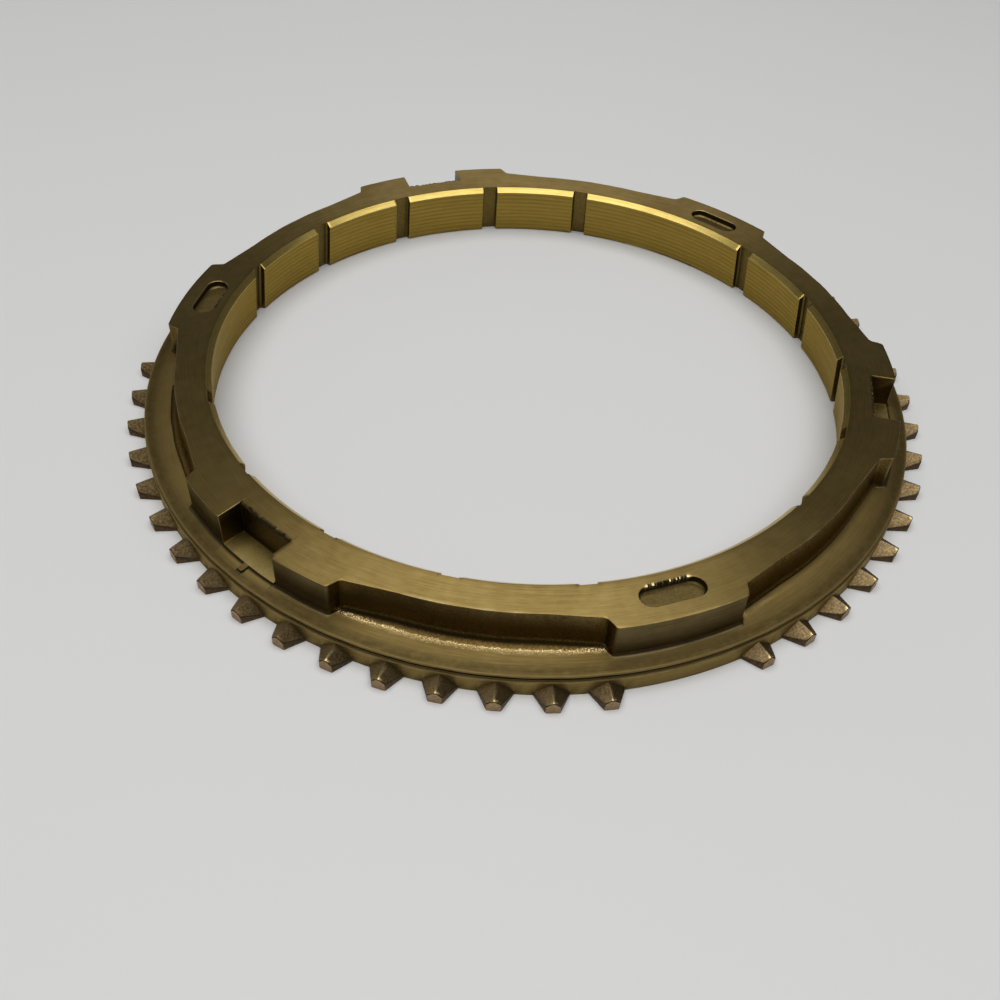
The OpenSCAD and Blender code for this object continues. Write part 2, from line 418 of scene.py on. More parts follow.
# %% Section of the collar
RING_H = 12.0
TOP_EDGE = 0.08
EDGE_BULGE = 0.3
EDGE_SHADE = 0.2
EDGE_POINTS = 4
TOP_STRIP = 0.55
TOP_SHARES = (0.35, 0.65)
LAND_INNER_R = 77.7
TONGUE_END_R = 77.1
TOP_SEAM_R = 67.2
CONE_SEAM_R = 66.6
FILLET_STEPS = 6
PAD_FILLET = 0.8
RECESS_FILLET = 2.1
WALL_SHARES = (0.35, 0.7, 0.97)
WALL_SHEEN = (0.0, 0.4, 0.9)
FORGED_WALL_SHADE = 0.6
PAD_WALL_SHADE = (0.9, 0.5, 0.1)
PAD_FOOT_SHADE = (0.2, 0.5)
FORGED_FOOT_SHADE = (0.0, 0.2, 0.9, 1.0, 0.7, 0.3, 0.1)
LAND_MIDDLE_R = 76.3
POCKET_POINTS = 8


def top_places(first_r, z):
    """Places of the pocket points on a plain top face."""
    outer, inner = (first_r + (TOP_SEAM_R - first_r) * share for share in TOP_SHARES)
    return [(outer, z)] * (POCKET_POINTS // 2) + [(inner, z)] * (POCKET_POINTS // 2)


def wall_section(top_r, draft, fillet, turned, dirt_and_shade):
    """Rows of radius, height, wear and grime up to the top face; turned is 0 on a pad and 1 in a recess."""
    lean = math.tan(math.radians(draft))
    foot_r = top_r + (RING_H - RIM_Z) * lean
    foot = np.array((foot_r, land_z(foot_r)))
    land_dir = np.array((1, -LAND_FALL)) / math.hypot(1, LAND_FALL)
    wall_dir = np.array((-lean, 1)) / math.hypot(lean, 1)
    arc = round_corner(foot, land_dir, wall_dir, fillet, FILLET_STEPS)
    forged = turned * turned
    places = []
    # The fillet at the foot of the wall is darkened: painted shade in the crease, much stronger at the foot
    # of a forged wall.
    least, more = PAD_FOOT_SHADE
    for step, p in enumerate(arc):
        pad_foot_shade = least + more * math.sin(math.pi * step / FILLET_STEPS)
        places.append((p[0], p[1], 0, pad_foot_shade * (1 - forged) + FORGED_FOOT_SHADE[step] * dirt_and_shade * forged))
    start_z = arc[-1][1]
    end_z = RING_H - TOP_EDGE
    # The lower wall is darkened more than the upper: painted shade.
    for share, wear_and_glint, grime_and_shade in zip(WALL_SHARES, WALL_SHEEN, PAD_WALL_SHADE):
        z = start_z + (end_z - start_z) * share
        grime_and_shade = grime_and_shade * (1 - forged) + FORGED_WALL_SHADE * forged
        # The upper part of a forged wall is painted lighter where its foot is less dark: a painted sheen.
        places.append((top_r + (RING_H - z) * lean, z, wear_and_glint * (1 - dirt_and_shade) * forged, grime_and_shade * dirt_and_shade))
    # The top edge of a pad is darkened a little: painted shade.
    shade = EDGE_SHADE * (1 - turned)
    bulge = EDGE_BULGE * TOP_EDGE
    edge = [(top_r + TOP_EDGE * lean, end_z, 0, shade),
            (top_r - bulge, RING_H - bulge, 0, shade),
            (top_r - TOP_EDGE, RING_H, 0, shade),
            (top_r - TOP_STRIP, RING_H, 0, 0)]
    plain = [(r, z, 0, 0) for r, z in top_places(top_r - TOP_STRIP, RING_H)]
    return places + edge + plain


def land_section():
    """Radius, height, wear and grime of the land up to the fillet."""
    # The land is darkened towards its outer edge.
    places = ((LAND_INNER_R, 0.75), (TONGUE_END_R, 0.65), (LAND_MIDDLE_R, 0.4))
    return [(radius, land_z(radius), 0, grime_and_shade) for radius, grime_and_shade in places]


def collar_section(top_r, turned, dirt_and_shade=0):
    """Whole section of the collar, for a wall that is a pad's, a recess's or turns from one to the other."""
    draft = RECESS_DRAFT * turned
    fillet = PAD_FILLET + (RECESS_FILLET - PAD_FILLET) * turned
    return land_section() + wall_section(top_r, draft, fillet, turned, dirt_and_shade) + [(TOP_SEAM_R, RING_H, 0, 0)]


def collar_station(angle, top_r, turned, dirt_and_shade=0):
    """Station of the collar at one angle; the last argument is how dark the walls and the foot of a forged
    wall are painted, partly soiling and partly painted shade.
    """
    return [(angle, *place) for place in collar_section(top_r, turned, dirt_and_shade)]


collar_steps = len(collar_section(PAD_R, 0)) - 1
wall_step = len(land_section())
edge_step = wall_step + FILLET_STEPS + len(WALL_SHARES) + 1
pocket_step = edge_step + EDGE_POINTS
FOOT_STEPS = 1
CLEAN_FOOT_STEPS = 3


def finish_row(wall, top, foot_steps=FOOT_STEPS):
    """Finish of each step of the collar section; a forged wall starts some steps above its foot."""
    row = [LAND] * wall_step + [wall] * (edge_step - wall_step)
    if wall == FORGED:
        row[wall_step:wall_step + foot_steps] = [LAND] * foot_steps
    row += [TOP] * (pocket_step - edge_step) + [top] * (POCKET_POINTS - 1)
    return row + [TOP] * (collar_steps - len(row))


print("collar section:", collar_steps + 1, "points")

# %% [markdown]
# ## Burrs
# The cutters that milled the slots and pockets tore the upper edge of the inner wall, and left a ragged
# line of burrs. Bump can't change an outline, so the mesh itself is torn. Each station there gets its own
# notch, from a number that looks random but is the same in every run, so no two slots are alike. Some
# notches are painted bright, as glints, and the others dark, as shade in the torn edge. Slots are torn
# deeper than pockets, and fewer of their notches are painted bright.

# %% Burr helper
BURR_NOTCH = 0.28
BURR_DROP = 0.9
BRIGHT_NOTCH = 0.2
BRIGHT_DROP = 0.07
BRIGHT_BURR_FROM = 0.5
UNTORN = 0.6
LEAST_DROP = 0.3
BRIGHT_SEED = 13
DROP_SEED = 3
PLACE_STRIDE = 12.9898
SEED_STRIDE = 78.233
JUMP = 437.585


def scatter(seed, y):
    """Number from 0 to 1 that jumps about with y and the seed."""
    return abs(math.sin(PLACE_STRIDE * y + SEED_STRIDE * (seed + 1)) * JUMP) % 1


def burr(seed, y, depth=1.0, bright_from=BRIGHT_BURR_FROM):
    """Notch and drop of a torn edge in millimetres, with a value that paints a bright glint and one that
    paints dark shade.
    """
    # Bright notches are painted glints; the others are painted dark, as shade in the torn notch.
    if scatter(seed + BRIGHT_SEED, y) > bright_from:
        return BRIGHT_NOTCH, BRIGHT_DROP, 1.0, 0.0
    torn = max(0.0, (1 + UNTORN) * scatter(seed, y) - UNTORN)
    drop = BURR_DROP * scatter(seed + DROP_SEED, y) * (LEAST_DROP + torn)
    return depth * BURR_NOTCH * torn, drop, 0.0, 1.0


print("burr of a first station:", [round(value, 2) for value in burr(0, 1.0)])

# %% [markdown]
# ## Pockets
# A pocket has straight sides and round ends. A boolean could cut it, but points that belong to the stations
# keep the skin in clean quads. Eight points of a station follow the pocket: four down its outer wall and
# four up its inner one. The last station brings them together again on the top face.

# %% Stations of a pocket
POCKET_R = 70.0
POCKET_HALF_W = 2.2
POCKET_STRAIGHT = 3.8
POCKET_FLOOR = 10.4
POCKET_EDGE = 0.12
POCKET_FOOT = 0.3
# The pocket walls are darkened towards the floor, as painted shade in the pocket; the top edge is painted a
# little lighter, a small painted highlight.
POCKET_RINGS = [(POCKET_HALF_W + POCKET_EDGE, RING_H, 0.2, 0),
                (POCKET_HALF_W, RING_H - POCKET_EDGE, 0, 0.5),
                (POCKET_HALF_W, POCKET_FLOOR + POCKET_FOOT, 0, 0.8),
                (POCKET_HALF_W - POCKET_FOOT, POCKET_FLOOR, 0, 0.6)]
TORN_RINGS = 2
FOOT_RING = 2
BURR_SPACING = 0.2
END_TURNS = (18, 36, 54, 72, 90)


def pocket_station(seed, y, turn):
    """Station through a pocket at distance y, or on its round end at a turn in degrees."""
    swing = math.radians(turn)
    line_y = y + POCKET_HALF_W * math.sin(swing)
    station = [(beside(line_y, place[0]), *place) for place in collar_section(PAD_R, 0)]
    outer = []
    inner = []
    for number, (ring_r, z, wear_and_glint, grime_and_shade) in enumerate(POCKET_RINGS):
        for side, rows in ((1, outer), (-1, inner)):
            reach = ring_r
            height = z
            rub_and_glint = wear_and_glint
            dirt_and_shade = grime_and_shade
            if side == -1 and number < TORN_RINGS and turn == 0:
                notch, drop, rub_and_glint, dirt_and_shade = burr(seed if line_y else 0, line_y)
                reach += notch if number == 0 else notch * dirt_and_shade
                height -= drop * number
            # The foot of the inner wall is the darkest: painted shade.
            if side == -1 and number == FOOT_RING:
                dirt_and_shade = 1
            x = POCKET_R + side * reach * math.cos(swing)
            ring_y = y + ring_r * math.sin(swing)
            rows.append((math.degrees(math.atan2(ring_y, x)), math.hypot(x, ring_y), height, rub_and_glint, dirt_and_shade))
    station[pocket_step:pocket_step + POCKET_POINTS] = outer + inner[::-1]
    return station


def pocket_finish_row(seed, y, turn):
    """Finish of each step through a pocket: its walls take the dark finish as painted shade, and its torn
    edge does so in places.
    """
    row = finish_row(PAD, POCKET)
    # Both walls take the dirt finish: painted shade.
    row[pocket_step + 1] = DIRT_AND_SHADE
    row[pocket_step + POCKET_POINTS - 3] = DIRT_AND_SHADE
    if turn == 0:
        notch_shade = burr(seed if y else 0, y)[3]
        row[pocket_step + POCKET_POINTS - 2] = DIRT_AND_SHADE if notch_shade else CLEAN_AND_GLINT
    return row


def pocket_stations(seed):
    """Stations of half a pocket, and the one that closes its round end on the top face."""
    count = round(POCKET_STRAIGHT / BURR_SPACING)
    places = [(POCKET_STRAIGHT * step / count, 0) for step in range(count + 1)]
    places += [(POCKET_STRAIGHT, turn) for turn in END_TURNS]
    stations = [pocket_station(seed, y, turn) for y, turn in places]
    closed = list(stations[-1])
    closed[pocket_step:pocket_step + POCKET_POINTS] = [closed[pocket_step]] * POCKET_POINTS
    return places, stations, closed


print("half a pocket:", len(pocket_stations(0)[1]) + 1, "stations")

# %% [markdown]
# ## Key slots
# A key slot has a flat floor and a flat inner wall, and a small tongue stands on the land in front of it.
# Its section starts on the land, climbs a low step or the tongue, and follows floor and wall to the torn
# edge. The corners between pad and slot are rounded, and one of the six is blunt.

# %% Sections of a key slot
SLOT_HALF = 6.7
SLOT_WALL = 70.35
SLOT_FLOOR = 5.1
SLOT_CORNER = 0.06
SLOT_TEAR = 1.7
SLOT_BRIGHT_FROM = 0.88
BLUNT_CORNERS = (0.12, 0.12, 0.12, 0.12, 0.12, 0.9)
CORNER_HIGHLIGHT = 0.8
SIDE_HIGHLIGHT = 0.6
BEVEL_END = 0.1
TONGUE_EDGE = 0.12
TONGUE_SHADE = 0.4
STEP_FRONT_R = 76.1
STEP_LENGTH = 0.6
STEP_HOLLOW = 0.36
STEP_FOOT = 0.05
STEP_EDGE = 0.04
FLOOR_EDGE = 0.06
SLOT_FOOT = 0.3
WALL_LOW = 7.6
WALL_HIGH = 10.4
TEAR_FOOT = 0.4
TEAR_TOP = 0.05
TEAR_SHARE = 0.3
SLOT_STRIP = 0.7
SMOOTH = (0, 0, 0, 0.6)


def slot_burr(seed, y):
    """Torn edge of a key slot, which is deeper and darker than a pocket's."""
    return burr(seed, y, SLOT_TEAR, SLOT_BRIGHT_FROM)


def slot_corner(seed, turn):
    """Distance from the middle of the slot and radius, on the rounded corner between pad and slot."""
    blunt = BLUNT_CORNERS[seed]
    swing = math.radians(turn)
    return SLOT_HALF + blunt * (1 - math.cos(swing)), PAD_R - blunt * (1 - math.sin(swing))


def corner_section(seed, turn, dirt_and_shade):
    """Section of a pad's rounded corner beside a key slot, with its top edge lowered and a painted highlight
    along its wall.
    """
    swing = math.radians(turn)
    section = collar_section(slot_corner(seed, turn)[1], 0, dirt_and_shade)
    wall_r = math.hypot(SLOT_WALL, SLOT_HALF)
    half_points = POCKET_POINTS // 2
    edge_end = pocket_step + half_points
    section[pocket_step:edge_end] = [(wall_r + BEVEL_END, RING_H, 0, 0)] * half_points
    section[edge_end:edge_end + half_points] = [(wall_r - BEVEL_END, RING_H, 0, 0)] * half_points
    for step in range(wall_step + FILLET_STEPS, edge_end):
        r, z, _, grime_and_shade = section[step]
        drop = TOP_EDGE * (1 - math.sin(swing)) if step >= edge_step - 1 else 0
        # A light line painted along the rounded corner: a painted highlight.
        rub_and_glint = CORNER_HIGHLIGHT * math.sin(2 * swing) if step < pocket_step - 1 else 0
        section[step] = (r, z - drop, rub_and_glint, grime_and_shade * (1 - rub_and_glint))
    return section


def slot_section(y, wall_x, on_tongue, beside_tongue, torn):
    """Section through a key slot on a line at distance y, with its inner wall at wall_x and its torn edge."""
    notch, drop, rub_and_glint, dirt_and_shade = torn
    wall_r = math.hypot(wall_x, y)
    front = SLOT_FLOOR if on_tongue else land_z(PAD_R)
    tongue_z = SLOT_FLOOR if on_tongue else land_z(TONGUE_END_R)
    # Painted shade outlines the tongue and darkens the low step in front of the floor and the foot and top of
    # the slot wall.
    line = 1 if beside_tongue else 0
    end_shade = max(0.5, line)
    land = [land_section()[0],
            (TONGUE_END_R + TONGUE_EDGE, land_z(TONGUE_END_R), 0, 0.9 if on_tongue else end_shade),
            (TONGUE_END_R, tongue_z, 0, end_shade)]
    step = [(STEP_FRONT_R, front, 0, line),
            (PAD_R + STEP_LENGTH, front, 0, max(0.3, line)),
            (PAD_R + STEP_HOLLOW, front, 0, 0.8),
            (PAD_R, min(front + STEP_FOOT, SLOT_FLOOR), 0, 1),
            (PAD_R, SLOT_FLOOR - STEP_EDGE, 0, 0.8)]
    if on_tongue:
        step = [(place[0], SLOT_FLOOR, 0, TONGUE_SHADE) for place in step]
    floor = [(PAD_R - FLOOR_EDGE, SLOT_FLOOR, 0.3, 0),
             (wall_r + SLOT_FOOT, SLOT_FLOOR, 0, 0.7)]
    corner = 1 if y > SLOT_HALF - 2 * SLOT_CORNER else 0
    wall = [(wall_r, SLOT_FLOOR + SLOT_FOOT, 0, max(0.7, corner)),
            (wall_r, WALL_LOW, 0, corner),
            (wall_r, WALL_HIGH, 0, max(0.5, corner))]
    edge = [(wall_r, RING_H - TEAR_FOOT - drop, 0, 1),
            (wall_r - notch, RING_H - TEAR_TOP - TEAR_SHARE * drop, rub_and_glint, dirt_and_shade),
            (wall_r - TOP_EDGE - notch, RING_H, rub_and_glint, dirt_and_shade),
            (wall_r - SLOT_STRIP, RING_H, 0, 0)]
    plain = [(r, z, 0, 0) for r, z in top_places(wall_r - SLOT_STRIP, RING_H)]
    return land + step + floor + wall + edge + plain + [(TOP_SEAM_R, RING_H, 0, 0)]


slot_end = slot_section(SLOT_HALF, SLOT_WALL + SLOT_CORNER, False, False, SMOOTH)


def slot_side_section(seed):
    """Section of the pad along the side wall of a key slot, with its top edge rounded down."""
    side_r = slot_corner(seed, 0)[1]
    section = collar_section(side_r, 0)
    # Inside the slot the pad's wall is painted dark as shade, and its lowered top edge light as a highlight.
    for step in range(wall_step, edge_step + 2):
        r, z = section[step][:2]
        section[step] = (r, z, 0, 1) if step < edge_step - 1 else (r, z - TOP_EDGE, SIDE_HIGHLIGHT, 0)
    end_r = slot_end[edge_step + 1][0]
    section[edge_step + 2] = (side_r - TOP_EDGE, RING_H - TOP_EDGE, SIDE_HIGHLIGHT, 0)
    section[edge_step + 3] = (end_r + BEVEL_END, RING_H - TOP_EDGE, SIDE_HIGHLIGHT / 2, 0)
    section[pocket_step:] = slot_end[pocket_step:]
    section[:wall_step] = slot_end[:wall_step]
    return section


print("section of a key slot:", len(slot_end), "points")

# %% Stations of a key slot
SLOT_DIR = SECTOR_ANGLE / 2
BLUNT_TURNS = (90, 60, 30)
LINE_SPACING = 0.34
TONGUE_HALF = 0.575
TONGUE_GAP = 0.22
TONGUE_STEPS = 5
# The low step in front of the floor takes the dirt finish: a painted line of shadow.
STEP_FINISHES = [LAND, LAND, DIRT_AND_SHADE, DIRT_AND_SHADE, CLEAN_AND_GLINT, CLEAN_AND_GLINT]


def slot_line(y, section):
    """Station on a line beside the middle of a key slot, at distance y from it."""
    return [(SLOT_DIR - beside(y, place[0]), *place) for place in section]


def slot_finish_row(y, beside_tongue):
    """Finish of each step of the section through a key slot: land, a step darkened as painted shade, floor,
    wall and torn edge.
    """
    row = finish_row(SLOT, TOP)
    row[wall_step:wall_step + len(STEP_FINISHES)] = STEP_FINISHES
    # The top of the slot wall takes the dirt finish: painted shade.
    if y < SLOT_HALF - SLOT_CORNER:
        row[edge_step] = DIRT_AND_SHADE
    if beside_tongue:
        row[1:wall_step + 2] = [DIRT_AND_SHADE] * (wall_step + 1)
    return row


def slot_stations(seed, dirt_and_shade):
    """Stations of half a key slot: those round the corner of the pad, and those across to its middle."""
    pad = [slot_line(slot_corner(seed, turn)[0], corner_section(seed, turn, dirt_and_shade)) for turn in BLUNT_TURNS]
    pad.append(slot_line(SLOT_HALF, slot_side_section(seed)))
    across = [(slot_line(SLOT_HALF, slot_end), slot_finish_row(SLOT_HALF, False))]
    first = SLOT_HALF - SLOT_CORNER
    last = TONGUE_HALF + TONGUE_GAP
    count = round((first - last) / LINE_SPACING)
    for step in range(count + 1):
        y = first + (last - first) * step / count
        section = slot_section(y, SLOT_WALL, False, False, slot_burr(seed, y))
        across.append((slot_line(y, section), slot_finish_row(y, False)))
    torn = slot_burr(seed, TONGUE_HALF)
    tongue_lines = ((TONGUE_HALF, False, torn), (TONGUE_HALF, True, torn), (0, True, slot_burr(0, 0)))
    for y, on_tongue, tear in tongue_lines:
        section = slot_section(y, SLOT_WALL, on_tongue, not on_tongue, tear)
        finish = slot_finish_row(y, not on_tongue)
        # The end of the tongue takes the dirt finish: a painted line of shadow.
        if on_tongue:
            finish[1:wall_step + TONGUE_STEPS] = [DIRT_AND_SHADE] + [LAND] * (wall_step + TONGUE_STEPS - 2)
        across.append((slot_line(y, section), finish))
    return pad, across


print("half a key slot:", sum(len(stations) for stations in slot_stations(0, 0)), "stations")

# %% [markdown]
# ## Collar band
# A third of the ring is two halves that mirror each other, from the middle of a pocket to the middle of a
# key slot. Each of the six halves is drawn with its own seed, so that burrs and the uneven forged wall
# differ. How dark the foot and the forged wall are painted differs as well, partly grime and partly painted
# shade, and there is less of it towards the pocket.

# %% Collar band
FORGED_STEP = 2.0
BRUISE_FROM = 0.7
# How dark each half paints the foot and the forged wall, partly grime and partly painted shade; the half at
# front left is darkest.
FOOT_DIRT_AND_SHADE = (0.2, 0.5, 0.6, 0.5, 0.4, 1.0)
SLOT_PAD_DIRT_AND_SHADE = (0.0, 0.0, 1.0)
POCKET_SIDE_DIRT_AND_SHADE = 0.45
CLEAN_BELOW = 0.3
POCKET_PAD_ANGLES = (6.3, 7.4)
SLOT_PAD_ANGLES = (12.4, 10.6, 8.8, 7.2)
BRUISED_POINTS = 3
COARSE_RIPPLE = 0.05
COARSE_RATE = 0.9
FINE_RIPPLE = 0.03
FINE_RATE = 2.3
FINE_SHIFT = 1.7


def forged_ripple(angle, seed):
    """Unevenness of the forged wall in millimetres."""
    coarse = COARSE_RIPPLE * math.sin(angle * COARSE_RATE + seed)
    return coarse + FINE_RIPPLE * math.sin(angle * FINE_RATE + FINE_SHIFT * seed)


def foot_steps_of(dirt_and_shade):
    """Steps of the hollow at the foot of a forged wall that were turned clean with the land."""
    return CLEAN_FOOT_STEPS if dirt_and_shade < CLEAN_BELOW else FOOT_STEPS


def end_stations(line, flip, pad_dirt_and_shade, dirt_and_shade):
    """Stations of a pad end, from the pad outwards, or mirrored about the middle of the key slot."""
    foot = foot_steps_of(dirt_and_shade)
    stations = []
    for angle, radius, turned in line:
        place = SLOT_DIR - angle if flip else angle
        station = collar_station(place, radius, turned, pad_dirt_and_shade + (dirt_and_shade - pad_dirt_and_shade) * turned)
        stations.append((station, finish_row(FORGED if turned else PAD, TOP, foot)))
    return stations


def bruised(station, chance):
    """The station with its upper edge rubbed bright, for a few chances out of ten."""
    if chance < BRUISE_FROM:
        return station
    edge_end = edge_step + BRUISED_POINTS
    edge = [(*place[:3], 1, 0) for place in station[edge_step:edge_end]]
    return station[:edge_step] + edge + station[edge_end:]


def half_sector(seed):
    """Stations with their finishes, from the middle of a pocket to the middle of a key slot."""
    dirt_and_shade = FOOT_DIRT_AND_SHADE[seed]
    places, pocket, closed = pocket_stations(seed)
    half = [(station, pocket_finish_row(seed, *place)) for place, station in zip(places, pocket)]
    pad_row = finish_row(PAD, TOP)
    half.append((closed, pad_row))
    half += [(collar_station(angle, PAD_R, 0), pad_row) for angle in POCKET_PAD_ANGLES]
    half += end_stations(pocket_pad_end, False, 0, dirt_and_shade * POCKET_SIDE_DIRT_AND_SHADE)
    first = pocket_pad_end[-1][0]
    last = SLOT_DIR - slot_pad_end[-1][0]
    count = round((last - first) / FORGED_STEP)
    for step in range(1, count):
        angle = first + (last - first) * step / count
        radius = RECESS_R + math.sin(math.pi * step / count) * forged_ripple(angle, seed)
        here = dirt_and_shade * (POCKET_SIDE_DIRT_AND_SHADE + (1 - POCKET_SIDE_DIRT_AND_SHADE) * step / count)
        station = bruised(collar_station(angle, radius, 1, here), scatter(seed, angle))
        half.append((station, finish_row(FORGED, TOP, foot_steps_of(dirt_and_shade))))
    pad_dirt_and_shade = SLOT_PAD_DIRT_AND_SHADE[seed // 2]
    half += end_stations(slot_pad_end, True, pad_dirt_and_shade, dirt_and_shade)[::-1]
    half += [(collar_station(SLOT_DIR - angle, PAD_R, 0, pad_dirt_and_shade), pad_row) for angle in SLOT_PAD_ANGLES]
    pad, across = slot_stations(seed, pad_dirt_and_shade)
    half += [(station, pad_row) for station in pad]
    return half + across


collar_rows = []
collar_finishes = []
for sector in range(SECTORS):
    centre = POCKET_DIR + sector * SECTOR_ANGLE
    for station, finish in half_sector(2 * sector):
        collar_rows.append(add_station(station, centre))
        collar_finishes.append(finish)
    for station, finish in half_sector(2 * sector + 1)[::-1]:
        collar_rows.append(add_station(mirrored(station), centre + SECTOR_ANGLE))
        collar_finishes.append(finish)
collar_rows.append(collar_rows[0])
collar_finishes.append(collar_finishes[0])
add_band(collar_rows, collar_finishes)
print("collar:", len(collar_rows), "stations")

# %% [markdown]
# ## Threaded cone
# The cone grips the gear, so a fine thread is turned into it to cut through the oil film, and grooves along
# it lead the oil away. Bump would look flat where the cone is seen at a low angle, so the thread is real
# geometry: four points for each of its turns, which climb by one spacing in a full turn. The climb starts
# anew in the middle of a groove, where no thread is seen.

# %% Sections of the threaded cone
CONE_MOUTH_R = 66.0
CONE_ANGLE = math.radians(7)
CONE_LEAN = math.tan(CONE_ANGLE)
CHAMFER = 1.0
CHAMFER_START = 0.04
CHAMFER_EDGE = 0.03
CHAMFER_END = 0.98
CONE_TOP = 10.94
MOUTH_CHAMFER = 0.3
CREST_WEAR = 0.1
HOLLOW_DARKENING = 0.2
THREAD_SPACING = 1.1
THREAD_DEPTH = 0.05
THREAD_SHARES = ((0.0, 0), (0.45, 0), (0.62, 1), (0.83, 1))
THREAD_TURNS = 11
THREAD_HIGH = 10.7
THREAD_LOW = 0.4
GROOVE_DEPTH = 1.3 / math.cos(CONE_ANGLE)
GROOVE_DARKENING = 0.15
GROOVE_CORNER_SHADE = 0.5
BASE_INNER_R = 68.3


def cone_r(z):
    """Radius of the cone at a height."""
    return CONE_MOUTH_R - z * CONE_LEAN


def thread_places(climb):
    """Height and depth of the thread's points, from the top down."""
    places = []
    for turn in range(THREAD_TURNS):
        for share, deep in THREAD_SHARES:
            z = THREAD_HIGH + (climb - turn - share) * THREAD_SPACING
            inside = THREAD_LOW < z < THREAD_HIGH
            places.append((min(max(z, THREAD_LOW), THREAD_HIGH), THREAD_DEPTH * deep if inside else 0))
    return places


def cone_section(climb, sunk):
    """Section of a land of the cone, from the top face down; sunk rounds it off beside a groove."""
    corner_r = cone_r(RING_H - CHAMFER) + CHAMFER
    # The inner top edge and the foot of the mouth are darkened with painted shade; the thread hollows are a
    # little darker.
    top = [(CONE_SEAM_R, RING_H, 0, 0),
           (corner_r + CHAMFER_START + sunk, RING_H, 0, 0.25),
           (corner_r - CHAMFER_EDGE + sunk, RING_H - CHAMFER_EDGE, 0, 0.25)]
    chamfer = [(corner_r - CHAMFER_END + sunk, RING_H - CHAMFER_END, 0.3, 0),
               (cone_r(CONE_TOP) + sunk, CONE_TOP, 0.3, 0)]
    thread = [(cone_r(z) + max(deep, sunk), z, 0 if deep else CREST_WEAR, HOLLOW_DARKENING if deep else 0)
              for z, deep in thread_places(climb)]
    mouth = [(cone_r(MOUTH_CHAMFER) + sunk, MOUTH_CHAMFER, 0.3, 0),
             (CONE_MOUTH_R + MOUTH_CHAMFER + sunk, 0, 0, 0.5)]
    return top + chamfer + thread + mouth + [(BASE_INNER_R, 0, 0, 0)]


def groove_section(climb, y, raised):
    """Section of the floor of an oil groove on a line at distance y; raised rounds its corner."""
    # The groove floor is a little darker, and its rounded corners are darkened more: painted shade.
    grime_and_shade = GROOVE_CORNER_SHADE if raised else GROOVE_DARKENING
    heights = [place[1] for place in cone_section(climb, 0)[1:-1]]
    section = [(math.hypot(cone_r(z) + GROOVE_DEPTH - raised, y), z, 0, grime_and_shade) for z in heights]
    return [(CONE_SEAM_R, RING_H, 0, 0)] + section + [(BASE_INNER_R, 0, 0, 0)]


def groove_line(y, section):
    """Station on a line beside the middle of a groove, at distance y from it."""
    return [(beside(y, place[0]), *place) for place in section]


print("section of the cone:", len(cone_section(0, 0)), "points")

# %% Threaded cone band
GROOVE_OFFSET = 8.8
GROOVE_PLACES = 6
GROOVE_ANGLE = SECTOR_ANGLE / GROOVE_PLACES
GROOVE_HALF = 1.75
GROOVE_FILLET = 0.3
GROOVE_SUNK = 0.12
GROOVE_EDGE = 0.2
GROOVE_LINES = [(0, 0), (GROOVE_HALF - GROOVE_FILLET, 0), (GROOVE_HALF, GROOVE_FILLET)]
EDGE_LINES = [(GROOVE_HALF, GROOVE_SUNK), (GROOVE_HALF + GROOVE_EDGE, 0)]
GROOVE_SPAN = 2.1
CONE_STEP = 1.6
groove_places = []
for sector in range(SECTORS):
    for place in range(1, GROOVE_PLACES):
        groove_places.append(POCKET_DIR + sector * SECTOR_ANGLE + GROOVE_OFFSET + place * GROOVE_ANGLE)
climb_start = groove_places[0]
cone_rows = []
cone_finishes = []
cone_points = len(cone_section(0, 0))
CHAMFER_STEPS = 3
land_finish = [TOP] + [BRIGHT] * CHAMFER_STEPS
land_finish += [CONE] * (cone_points - 1 - len(land_finish))
groove_finish = [TOP] + [GROOVE] * (cone_points - 2)


def add_cone_station(station, centre, finish):
    """Store one station of the cone with its finish."""
    cone_rows.append(add_station(station, centre))
    cone_finishes.append(finish)


for number, middle in enumerate(groove_places):
    climb = (middle - climb_start) / 360
    following = groove_places[number + 1] if number + 1 < len(groove_places) else groove_places[0] + 360
    next_climb = (following - climb_start) / 360
    for y, raised in GROOVE_LINES:
        add_cone_station(groove_line(y, groove_section(climb, y, raised)), middle, groove_finish)
    for y, sunk in EDGE_LINES:
        add_cone_station(groove_line(y, cone_section(climb, sunk)), middle, land_finish)
    land_start = middle + GROOVE_SPAN
    land_end = following - GROOVE_SPAN
    count = round((land_end - land_start) / CONE_STEP)
    for step in range(count + 1):
        angle = land_start + (land_end - land_start) * step / count
        section = cone_section((angle - climb_start) / 360, 0)
        add_cone_station([(0, *place) for place in section], angle, land_finish)
    for y, sunk in EDGE_LINES[::-1]:
        add_cone_station(groove_line(-y, cone_section(next_climb, sunk)), following, land_finish)
    for y, raised in GROOVE_LINES[::-1]:
        add_cone_station(groove_line(-y, groove_section(next_climb, y, raised)), following, groove_finish)
add_band(cone_rows, cone_finishes)
print("cone:", len(cone_rows), "stations of", cone_points, "points")

# %% [markdown]
# ## Weld and zip
# Points that fall together become one. Then the rims of the three bands are zipped: the strip steps on
# along whichever rim has the next smaller angle. The result has to be closed, so each edge is counted.

# %% Weld the bands and zip their rims
WELD = 1e-4
places = np.array(skin_points)
grid = np.round(places / WELD).astype(np.int64)
first_of, number_of = np.unique(grid, axis=0, return_index=True, return_inverse=True)[1:]
number_of = number_of.ravel()
welded = places[first_of]
wear_and_glint = np.zeros(len(welded))
grime_and_shade = np.zeros(len(welded))
np.maximum.at(wear_and_glint, number_of, skin_wear_and_glint)
np.maximum.at(grime_and_shade, number_of, skin_grime_and_shade)


